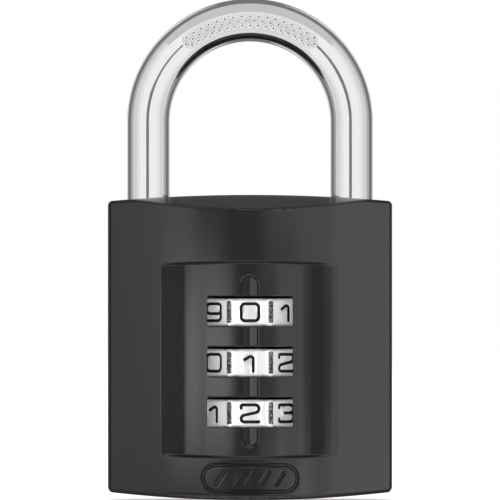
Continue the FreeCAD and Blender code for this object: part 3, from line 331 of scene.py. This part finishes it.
def case_rooms():
    """Every room inside the case, as one solid to take away."""
    inner = CASE_REAR - COVER_THICK
    front, back = AXIS_Y - BOLT_HALF, AXIS_Y + BOLT_HALF
    tools = [
        extruded("room", ring((0, AXIS_Y), SLEEVE_ROOM), STACK_FOOT, STACK_HEAD),
        box((-SLEEVE_ROOM, AXIS_Y, STACK_FOOT), (SLEEVE_ROOM, inner, STACK_HEAD)),
        box((-ARM_END, AXIS_Y - ARM_HALF, ARM_FOOT), (0, AXIS_Y + ARM_HALF, ARM_HEAD)),
        box((-ARM_REAR_END, AXIS_Y, ARM_FOOT), (0, inner, ARM_HEAD)),
        box((-LEG, front, BOLT_FOOT), (LEG, back, BOLT_HEAD)),
        box((-BOLT_REAR_END, AXIS_Y, BOLT_FOOT), (BOLT_REAR_END, inner, BOLT_HEAD)),
        box((-WEDGE_HALF, front, BOLT_FOOT), (WEDGE_HALF, inner, WEDGE_HEAD)),
        box((-GUIDE_HALF, GUIDE_FRONT, STACK_HEAD), (GUIDE_HALF, inner, BOLT_FOOT)),
        extruded("room", ring((-LEG, AXIS_Y), BAR + LEG_GAP), HEEL_BORE_FOOT, BORE_HEAD),
        extruded("room", ring((LEG, AXIS_Y), BAR + LEG_GAP), TOE_FOOT - TOE_BORE_GAP, BORE_HEAD),
        extruded("room", ring(KEEPER, KEEPER_RADIUS, 32), KEEPER_END, inner, "y"),
        extruded("room", rounded_outline(*COVER_ROOM), inner, CASE_REAR + 1, "y"),
        extruded("room", rounded_outline(*SEAM), CASE_REAR - SEAM_DEPTH, CASE_REAR + 1, "y"),
    ]
    for x in RIVET_X:
        for z in RIVET_Z:
            tools.append(extruded("room", ring((x, z), RIVET_RADIUS, 32), RIVET_END, inner, "y"))
    for middle in DIALS.values():
        low, high = middle - WINDOW_TALL, middle + WINDOW_TALL
        tools.append(extruded("room", ring((0, AXIS_Y), WHEEL_ROOM, 160), low, high))
        tools.append(box((-WHEEL_ROOM, AXIS_Y, low), (WHEEL_ROOM, inner, high)))
        window = rounded_outline(WINDOW_HALF, low, high, WINDOW_CORNER)
        tools.append(extruded("room", window, -CASE_FRONT - 1, 2 - PANEL_DEPTH, "y"))
    whole = tools[0]
    for tool in tools[1:]:
        boolean(whole, tool, "UNION")
    return whole


case = case_blank()
boolean(case, case_rooms(), "DIFFERENCE")
smooth(case, 32)
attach(case, "casing")
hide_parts("body_shell")


# ---------------------------------------------------------------- shackle


def shackle_stations():
    """Points along the bar: place in x and z, the outward direction there, radius, and angle on the bow."""
    stations = []
    for z, radius in ((HEEL_FOOT, BAR - 0.35), (HEEL_FOOT + 0.35, BAR), (NECK_FOOT, BAR), (NECK_FOOT, NECK),
                      (NECK_HEAD, NECK), (NECK_HEAD, BAR)):
        stations.append((-LEG, z, (-1, 0), radius))
    for z in spaced((NECK_HEAD, 1.5), (BOW_HEIGHT, 1))[1:-1]:
        stations.append((-LEG, z, (-1, 0), BAR))
    for turn in spaced((-90, 2.0), (-44, 0.42), (44, 2.0), (90, 1)):
        out = (math.sin(math.radians(turn)), math.cos(math.radians(turn)))
        stations.append((LEG * out[0], BOW_HEIGHT + LEG * out[1], out, BAR))
    for z in reversed(spaced((TOE_FOOT + 0.5, 1.5), (BOW_HEIGHT, 1))[:-1]):
        stations.append((LEG, z, (1, 0), BAR))
    stations.append((LEG, TOE_FOOT, (1, 0), BAR - 0.5))
    return stations


def band_depth(x, z, plain):
    """Depth of the bow's front: a shallow band with round ends, filled with a plain diamond knurl."""
    rise_z = z - BOW_HEIGHT
    angle = np.arctan2(x, rise_z)
    radius = np.hypot(x, rise_z)
    limit = math.radians(BAND_ANGLE)
    end_x = BAND_MIDDLE * np.sin(np.clip(angle, -limit, limit))
    end_z = BAND_MIDDLE * np.cos(np.clip(angle, -limit, limit))
    inside = BAND_HALF - np.hypot(x - end_x, rise_z - end_z)
    along, across = angle * BAND_MIDDLE, radius - BAND_MIDDLE
    knurl = 0
    for lean in (-1, 1):
        phase = (along + lean * KNURL_LEAN * across) / KNURL_PITCH
        off_line = np.abs(phase - np.round(phase)) * KNURL_PITCH
        knurl = np.maximum(knurl, rise(1 - off_line / KNURL_WIDTH))
    room = np.clip((plain - BAND_FLOOR) / (BAR - BAND_FLOOR), 0, 1)
    bottom = BAND_FLOOR + KNURL_HEIGHT * knurl * rise((inside - 0.08) / 0.3) * room
    return plain - (plain - np.minimum(bottom, plain)) * rise(inside / 0.16)


def shackle_bar():
    stations = shackle_stations()
    turns = np.radians(np.array(spaced((-180, 5), (-38, 1.0), (34, 5), (180, 1))[:-1]))
    points = []
    for x, z, out, radius in stations:
        across, depth = radius * np.sin(turns), radius * np.cos(turns)
        spot_x, spot_z = x + out[0] * across, z + out[1] * across
        if z > BOW_HEIGHT:
            facing = depth > 1
            depth = np.where(facing, band_depth(spot_x, spot_z, depth), depth)
        points.append(np.stack([spot_x, AXIS_Y - depth, spot_z], axis=-1))
    around, along = len(turns), len(stations)
    faces = []
    for row in range(along - 1):
        for k in range(around):
            a, b = row * around + k, row * around + (k + 1) % around
            faces.append((a, a + around, b + around, b))
    faces.append(tuple(range(around)))
    faces.append(tuple(reversed(range((along - 1) * around, along * around))))
    return new_object("shackle_bar", np.concatenate(points), faces)


def notch(side):
    """The room of a bolt's notch: deepest at the bolt, and running out down the leg."""
    inner, foot = LEG - BAR, TOE_FOOT - 0.1
    reach = inner + NOTCH_DEPTH
    run_out = reach - NOTCH_SLOPE * (NOTCH_KNEE - foot)
    outline = [(inner - 1, foot), (run_out, foot), (reach, NOTCH_KNEE)]
    outline += [(reach, NOTCH_HEAD), (inner - 1, NOTCH_HEAD)]
    outline = [(side * a, b) for a, b in outline]
    if side < 0:
        outline.reverse()
    return extruded("notch", outline, AXIS_Y - BAR - 1, AXIS_Y + BAR + 1, "y")


shackle = shackle_bar()
for side in (-1, 1):
    boolean(shackle, notch(side), "DIFFERENCE")
heel_flat = box((HEEL_FLAT, AXIS_Y - 4, HEEL_FOOT - 1), (-LEG + 4, AXIS_Y + 4, HEEL_FLAT_HEAD))
boolean(shackle, heel_flat, "DIFFERENCE")
smooth(shackle, 34)
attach(shackle, "shackle")
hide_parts("shackle")


# ---------------------------------------------------------------- materials


class Look:
    """A node material under construction."""

    def __init__(self, name, colour, roughness, metallic=0.0):
        self.material = bpy.data.materials.new(name)
        self.material.use_nodes = True
        self.tree = self.material.node_tree
        self.shader = self.tree.nodes["Principled BSDF"]
        self.put(self.shader, "Base Color", (*colour, 1))
        self.put(self.shader, "Roughness", roughness)
        self.put(self.shader, "Metallic", metallic)
        self.place = self.node("ShaderNodeTexCoord").outputs["Object"]

    def put(self, node, socket, value):
        if isinstance(value, bpy.types.NodeSocket):
            self.tree.links.new(value, node.inputs[socket])
        else:
            node.inputs[socket].default_value = value

    def node(self, kind, **sockets):
        made = self.tree.nodes.new(kind)
        for socket, value in sockets.items():
            self.put(made, socket.replace("_", " "), value)
        return made

    def noise(self, size, detail=3.0, stretch=(1, 1, 1), roughness=0.5):
        """Noise whose features are about size millimetres, longer along an axis with a stretch."""
        mapping = self.node("ShaderNodeMapping", Vector=self.place)
        mapping.inputs["Scale"].default_value = tuple(1 / way for way in stretch)
        scale = 1 / (size * MM)
        made = self.node("ShaderNodeTexNoise", Vector=mapping.outputs[0], Scale=scale, Detail=detail)
        made.inputs["Roughness"].default_value = roughness
        return made.outputs[0]

    def ramp(self, value, low, high, start=0.0, end=1.0):
        made = self.node("ShaderNodeMapRange", Value=value)
        for socket, number in (("From Min", low), ("From Max", high), ("To Min", start), ("To Max", end)):
            made.inputs[socket].default_value = number
        return made.outputs[0]

    def math(self, kind, first, second=0.0):
        made = self.tree.nodes.new("ShaderNodeMath")
        made.operation = kind
        self.put(made, 0, first)
        self.put(made, 1, second)
        return made.outputs[0]

    def mix(self, share, first, second):
        made = self.tree.nodes.new("ShaderNodeMix")
        made.data_type = "RGBA"
        self.put(made, 0, share)
        self.put(made, 6, first if isinstance(first, bpy.types.NodeSocket) else (*first, 1))
        self.put(made, 7, second if isinstance(second, bpy.types.NodeSocket) else (*second, 1))
        return made.outputs[2]

    def bump(self, height, depth, normal=None):
        """A bump of depth millimetres."""
        made = self.node("ShaderNodeBump", Height=height, Distance=depth * MM)
        made.inputs["Strength"].default_value = 1.0
        if normal is not None:
            self.put(made, "Normal", normal)
        return made.outputs[0]

    def worn(self, low, high, patches):
        """Convex edges, broken up by noise."""
        edges = self.ramp(self.node("ShaderNodeNewGeometry").outputs["Pointiness"], low, high)
        return self.math("MULTIPLY", edges, self.ramp(patches, 0.45, 0.7))


def black_lacquer(name, chips):
    """Glossy black lacquer. With chips, the sharpest edges are rubbed a little lighter."""
    look = Look(name, (0.0135, 0.0135, 0.0137), 0.2)
    dust = look.ramp(look.noise(0.35, 2.0), 0.72, 0.8)
    base = look.mix(dust, (0.0135, 0.0135, 0.0137), (0.02, 0.02, 0.02))
    if chips:
        base = look.mix(look.worn(0.6, 0.7, look.noise(1.5, 4.0)), base, (0.045, 0.044, 0.042))
    look.put(look.shader, "Base Color", base)
    look.put(look.shader, "Roughness", look.ramp(look.noise(0.6, 4.0), 0.3, 0.7, 0.19, 0.21))
    look.put(look.shader, "Normal", look.bump(look.noise(0.7, 2.0), 0.0006))
    return look.material


def bright_chrome():
    """Polished chrome with faint lengthwise scratches."""
    look = Look("bright_chrome", (0.87, 0.87, 0.875), 0.07, 1.0)
    scratches = look.noise(0.12, 3.0, (1, 1, 30))
    look.put(look.shader, "Roughness", look.ramp(scratches, 0.35, 0.75, 0.05, 0.13))
    look.put(look.shader, "Normal", look.bump(look.noise(2.0, 3.0, (1, 1, 4)), 0.0035))
    return look.material


def satin(name, colour, roughness, lines=(1, 1, 0.05)):
    """A turned or brushed metal with fine lines, a little grime, and painted shade that darkens it near
    walls.
    """
    look = Look(name, colour, roughness, 1.0)
    grime = look.ramp(look.noise(1.2, 5.0), 0.5, 0.75, 0.0, 0.4)
    dark = tuple(part * 0.45 for part in colour)
    metal = look.mix(grime, colour, dark)
    # painted shade: where ambient occlusion finds walls close by, the base colour goes to near black (0.01,
    # 0.009, 0.008)
    shade = look.node("ShaderNodeAmbientOcclusion", Color=(1, 1, 1, 1), Distance=PAINTED_SHADE_REACH * MM)
    unshaded_share = look.ramp(shade.outputs["AO"], 0.25, 0.8)
    look.put(look.shader, "Base Color", look.mix(unshaded_share, (0.01, 0.009, 0.008), metal))
    fine = look.noise(0.9, 3.0, lines)
    look.put(look.shader, "Roughness", look.ramp(fine, 0.3, 0.7, roughness - 0.05, roughness + 0.1))
    look.put(look.shader, "Normal", look.bump(fine, 0.0015))
    return look.material


def black_fill(name, low, high, bare):
    """Black paint in an engraving, with the metal showing where it has come off."""
    look = Look(name, (0.008, 0.008, 0.008), 0.55)
    worn_away = look.ramp(look.noise(0.18, 4.0, roughness=0.7), low, high)
    look.put(look.shader, "Base Color", look.mix(worn_away, (0.008, 0.008, 0.008), bare))
    look.put(look.shader, "Normal", look.bump(look.noise(0.1, 3.0), 0.01))
    return look.material


def wheel_chrome(dial, middle):
    """Satin chrome with a rough black bar on each ridge between two digits."""
    look = Look(f"wheel_chrome_{dial}", (0.9, 0.89, 0.88), 0.2, 0.4)
    parts = look.node("ShaderNodeSeparateXYZ", Vector=look.place)
    x, y, z = (look.math("DIVIDE", parts.outputs[k], MM) for k in range(3))
    turn = look.math("ARCTAN2", x, look.math("SUBTRACT", AXIS_Y, y))
    turn = look.math("FRACT", look.math("DIVIDE", turn, DIGIT_STEP))
    aside = look.math("ABSOLUTE", look.math("SUBTRACT", turn, 0.5))
    aside = look.math("MULTIPLY", aside, RIDGE_RADIUS * DIGIT_STEP)
    over = look.math("ABSOLUTE", look.math("SUBTRACT", z, middle))
    edge = look.math("MULTIPLY", look.noise(0.16, 4.0, roughness=0.7), 0.5)
    wide = look.ramp(look.math("ADD", aside, edge), 0.58, 0.66, 1, 0)
    tall = look.ramp(look.math("ADD", over, edge), 1.72, 1.8, 1, 0)
    bar = look.math("MULTIPLY", wide, tall)
    bar = look.math("MULTIPLY", bar, look.ramp(look.noise(0.13, 3.0), 0.36, 0.46))
    look.put(look.shader, "Base Color", look.mix(bar, (0.9, 0.89, 0.88), (0.012, 0.012, 0.012)))
    look.put(look.shader, "Metallic", look.ramp(bar, 0, 1, 0.4, 0))
    fine = look.noise(0.5, 3.0, (1, 1, 0.1))
    look.put(look.shader, "Roughness", look.ramp(fine, 0.3, 0.7, 0.14, 0.24))
    grain = look.bump(look.noise(0.3, 3.0), 0.007)
    look.put(look.shader, "Normal", look.bump(fine, 0.002, grain))
    return look.material


LACQUER, COVER_LACQUER = black_lacquer("black_lacquer", True), black_lacquer("cover_lacquer", False)
CHROME = bright_chrome()
FILL = black_fill("digit_fill", 0.62, 0.72, (0.12, 0.12, 0.115))
BAR_FILL = black_fill("bar_fill", 0.54, 0.62, (0.5, 0.49, 0.48))
# both satin metals carry the painted shade near walls
BRASS = satin("brass", (0.72, 0.52, 0.24), 0.28)
STEEL = satin("bright_steel", (0.56, 0.56, 0.57), 0.3, (1, 1, 1))


# ---------------------------------------------------------------- number wheels


def number_wheel(dial):
    """The wheel's own shape, with its engraved digits and ridge bars filled black."""
    node = NODES[f"number_wheel_{dial}"]
    wheel = node.copy()
    wheel.data = node.data.copy()
    wheel.name = wheel.data.name = f"dial_{dial}_wheel"
    wheel.parent = None
    scene.collection.objects.link(wheel)
    wheel.modifiers.clear()
    weld = wheel.modifiers.new("weld", "WELD")
    weld.merge_threshold = 1e-7
    take_result(wheel)
    mesh = wheel.data
    mesh.materials.clear()
    middle = (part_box(node.name)[0][2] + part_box(node.name)[1][2]) / 2 / MM
    mesh.materials.append(wheel_chrome(dial, middle))
    mesh.materials.append(FILL)
    mesh.materials.append(BAR_FILL)
    count = len(mesh.polygons)
    centres = np.empty(count * 3)
    mesh.polygons.foreach_get("center", centres)
    x, y, z = centres.reshape(-1, 3).T / MM
    y = y - AXIS_Y
    radius, turn = np.hypot(x, y), np.arctan2(x, -y)
    facet = turn - np.round(turn / DIGIT_STEP) * DIGIT_STEP
    ridge = turn - (np.floor(turn / DIGIT_STEP) + 0.5) * DIGIT_STEP
    ahead, aside = radius * np.cos(facet), radius * np.sin(facet)
    plain = FACET_DEPTH + FACET_RADIUS - np.sqrt(FACET_RADIUS**2 - np.clip(aside, -5, 5) ** 2)
    near = (np.abs(aside) < 1.55) & (np.abs(z - middle) < 1.5)
    digit = near & (ahead < plain - 0.03) & (ahead > FACET_DEPTH - DIGIT_DEPTH - 0.05)
    ahead, aside = radius * np.cos(ridge), radius * np.sin(ridge)
    bar = (np.abs(aside) < 0.249) & (np.abs(z - middle) < 1.62) & (np.abs(ahead - RIDGE_FLOOR) < 0.03)
    mesh.polygons.foreach_set("material_index", (digit + 2 * bar).astype(np.int32))
    smooth(wheel, 24)
    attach(wheel, f"dial_{dial}")
    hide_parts(node.name)
    return wheel


wheels = [number_wheel(dial) for dial in DIALS]
for piece, look in ((case, LACQUER), (shackle, CHROME)):
    piece.data.materials.clear()
    piece.data.materials.append(look)
REPLACED = {"body_shell", "shackle", "number_wheel_1", "number_wheel_2", "number_wheel_3"}
for name, node in NODES.items():
    if name in REPLACED:
        continue
    look = STEEL
    if name == "rear_cover":
        look = COVER_LACQUER
    if name.startswith("code_sleeve"):
        look = BRASS
    node.data.materials.clear()
    node.data.materials.append(look)
    smooth(node, 30)


def compressed_spring(name):
    """A coil spring copied from its node, with a mesh of its own, riding with the casing."""
    node = NODES[name]
    spring = node.copy()
    spring.data = node.data.copy()
    spring.name = spring.data.name = f"{name}_coil"
    spring.parent = None
    scene.collection.objects.link(spring)
    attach(spring, "casing")
    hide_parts(name)
    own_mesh(spring)


for name, joint in (("spindle_spring", "spindle_drop"), ("reset_spring", "change_press")):
    compressed_spring(name)


# ---------------------------------------------------------------- stage, camera and light

VIEW_HEIGHT, VIEW_WIDTH, DISTANCE = 35.14, 70.42, 3000.0
FLOOR_HALF, FLOOR_GLOW = 4000, 0.45


def stage():
    corners = [(a * FLOOR_HALF, b * FLOOR_HALF, 0) for a, b in ((-1, -1), (1, -1), (1, 1), (-1, 1))]
    floor = new_object("floor", corners, [(0, 1, 2, 3)])
    pale = Look("pale_floor", (0.93, 0.93, 0.93), 0.7)
    pale.put(pale.shader, "Base Color", pale.mix(pale.noise(40.0), (0.92, 0.92, 0.92), (0.94, 0.94, 0.94)))
    pale.put(pale.shader, "Emission Color", (1, 1, 1, 1))
    pale.put(pale.shader, "Emission Strength", FLOOR_GLOW)
    floor.data.materials.append(pale.material)
    floor.visible_glossy = False
    return floor


def camera():
    data = bpy.data.cameras.new("camera")
    thing = bpy.data.objects.new("camera", data)
    scene.collection.objects.link(thing)
    data.sensor_width = 36
    data.lens = data.sensor_width * DISTANCE / VIEW_WIDTH
    data.clip_start = 0.01
    thing.location = (0, -DISTANCE * MM, VIEW_HEIGHT * MM)
    thing.rotation_euler = (math.radians(90), 0, 0)
    scene.camera = thing


def group(name, things):
    made = bpy.data.collections.new(name)
    for thing in things:
        made.objects.link(thing)
    return made


def softbox(name, place, target, size, radiance, receivers, blockers=None):
    """An area light of a given brightness, for one group of pieces. Places and sizes in millimetres."""
    light = bpy.data.lights.new(name, "AREA")
    light.shape = "RECTANGLE"
    light.size, light.size_y = size[0] * MM, size[1] * MM
    light.energy = radiance * math.pi * light.size * light.size_y
    thing = bpy.data.objects.new(name, light)
    thing.location = Vector(place) * MM
    thing.rotation_euler = (Vector(target) - Vector(place)).to_track_quat("-Z", "Y").to_euler()
    thing.visible_camera = False
    thing.light_linking.receiver_collection = receivers
    thing.light_linking.blocker_collection = blockers
    scene.collection.objects.link(thing)


def around(turn, distance, height=20.0):
    """A place at an angle from the camera's side, positive to the right."""
    return (distance * math.sin(math.radians(turn)), -distance * math.cos(math.radians(turn)), height)


floor = stage()
camera()
scene.view_settings.view_transform = "Standard"
dark_parts = group("dark_parts", [case, NODES["rear_cover"], NODES["cover_rivets"]])
bar_only = group("bar_only", [shackle])
wheels_only = group("wheels_only", wheels)
floor_only = group("floor_only", [floor])

# the lacquer: wide lights at both sides with a dark gap in front, and small ones for single areas
AIM = (0, 0, 20)
for name, place, target, size, radiance in (
    ("left", around(-58, 900), AIM, (420, 1400), 0.6),
    ("right", around(62, 900), AIM, (720, 1400), 1.3),
    ("right_near", around(32, 600), AIM, (150, 900), 1.0),
    ("right_low", around(62, 905, -190), (0, 0, -190), (720, 400), 0.3),
    ("glow", (-58.5, -101.3, 18.5), (-44.4, -74.9, 18.5), (64, 30), 1.5),
    ("spot", (-60.8, -105.7, 17.5), (-46.8, -79.7, 17.5), (50, 19), 1.3),
    ("crown", around(-38, 210, 57), (-4, -10, 57), (70, 46), 1.1),
    ("upper", around(17, 210, 66), (3, -10, 44), (66, 52), 1.45),
    ("lower", around(20, 210, -26), (5, -10, -26), (84, 60), 1.4),
    ("top", (0, -350, 900), (0, -100, 0), (900, 700), 1.15),
    ("low", (0, -500, -700), AIM, (1200, 700), 0.9),
    ("back_left", (-560, 900, 20), AIM, (420, 900), 0.9),
    ("back_right", (560, 900, 20), AIM, (420, 900), 0.7),
):
    softbox(f"lacquer_{name}", place, target, size, radiance, dark_parts)
# the chrome bar: a white room with a small opening at the camera
WALL = 1000.0
walls = ((-1000, -500, 0.68), (-500, 0, 0.53), (0, 330, 0.27))
for side, name in ((-1, "left"), (1, "right")):
    for number, (start, end, radiance) in enumerate(walls):
        place = (side * WALL, (start + end) / 2, 0)
        softbox(f"bar_{name}_{number}", place, (0, place[1], 0), (end - start, 2000), radiance, bar_only)
    low, high = (40, WALL) if side > 0 else (222, WALL)
    place = (side * (low + high) / 2, -WALL, 0)
    softbox(f"bar_front_{name}", place, (place[0], 0, 0), (high - low, 2000), 0.78, bar_only)
for name, low, high in (("over", 125, WALL), ("under", -WALL, -55)):
    place = (-91, -WALL, (low + high) / 2)
    softbox(f"bar_front_{name}", place, (place[0], 0, place[2]), (262, high - low), 0.78, bar_only)
for name, x in (("left", -475), ("right", 475)):
    softbox(f"bar_back_{name}", (x, WALL, 0), (x, 0, 0), (450, 2000), 0.6, bar_only)
softbox("bar_top", (0, -400, WALL), (0, -400, 0), (2000, 1200), 0.42, bar_only)
softbox("bar_low", (0, -450, -WALL), (0, -450, 0), (2000, 1100), 0.6, bar_only)
# the wheels: lights that the case doesn't block, because it would leave them dark in their windows
for name, place, size, radiance in (
    ("left", around(-40, 600), (680, 900), 0.36),
    ("right", around(38, 600), (680, 900), 0.5),
    ("side_left", around(-75, 600), (700, 900), 2.1),
    ("side_right", around(75, 600), (700, 900), 2.1),
    ("top", (0, -400, 500), (800, 500), 0.35),
):
    softbox(f"wheel_{name}", place, AIM, size, radiance, wheels_only, wheels_only)
softbox("floor_light", (0, 0, 2500), (0, 0, 0), (9000, 9000), 1.0, floor_only)

# the world is white where the camera sees it directly, and grey as light and in reflections
world = bpy.data.worlds.new("studio")
scene.world = world
world.use_nodes = True
nodes, links = world.node_tree.nodes, world.node_tree.links
background = nodes["Background"]
background.inputs["Color"].default_value = (0.2, 0.2, 0.2, 1)
white = nodes.new("ShaderNodeBackground")
white.inputs["Color"].default_value = (1, 1, 1, 1)
choose = nodes.new("ShaderNodeMixShader")
links.new(nodes.new("ShaderNodeLightPath").outputs["Is Camera Ray"], choose.inputs[0])
links.new(background.outputs[0], choose.inputs[1])
links.new(white.outputs[0], choose.inputs[2])
links.new(choose.outputs[0], nodes["World Output"].inputs["Surface"])
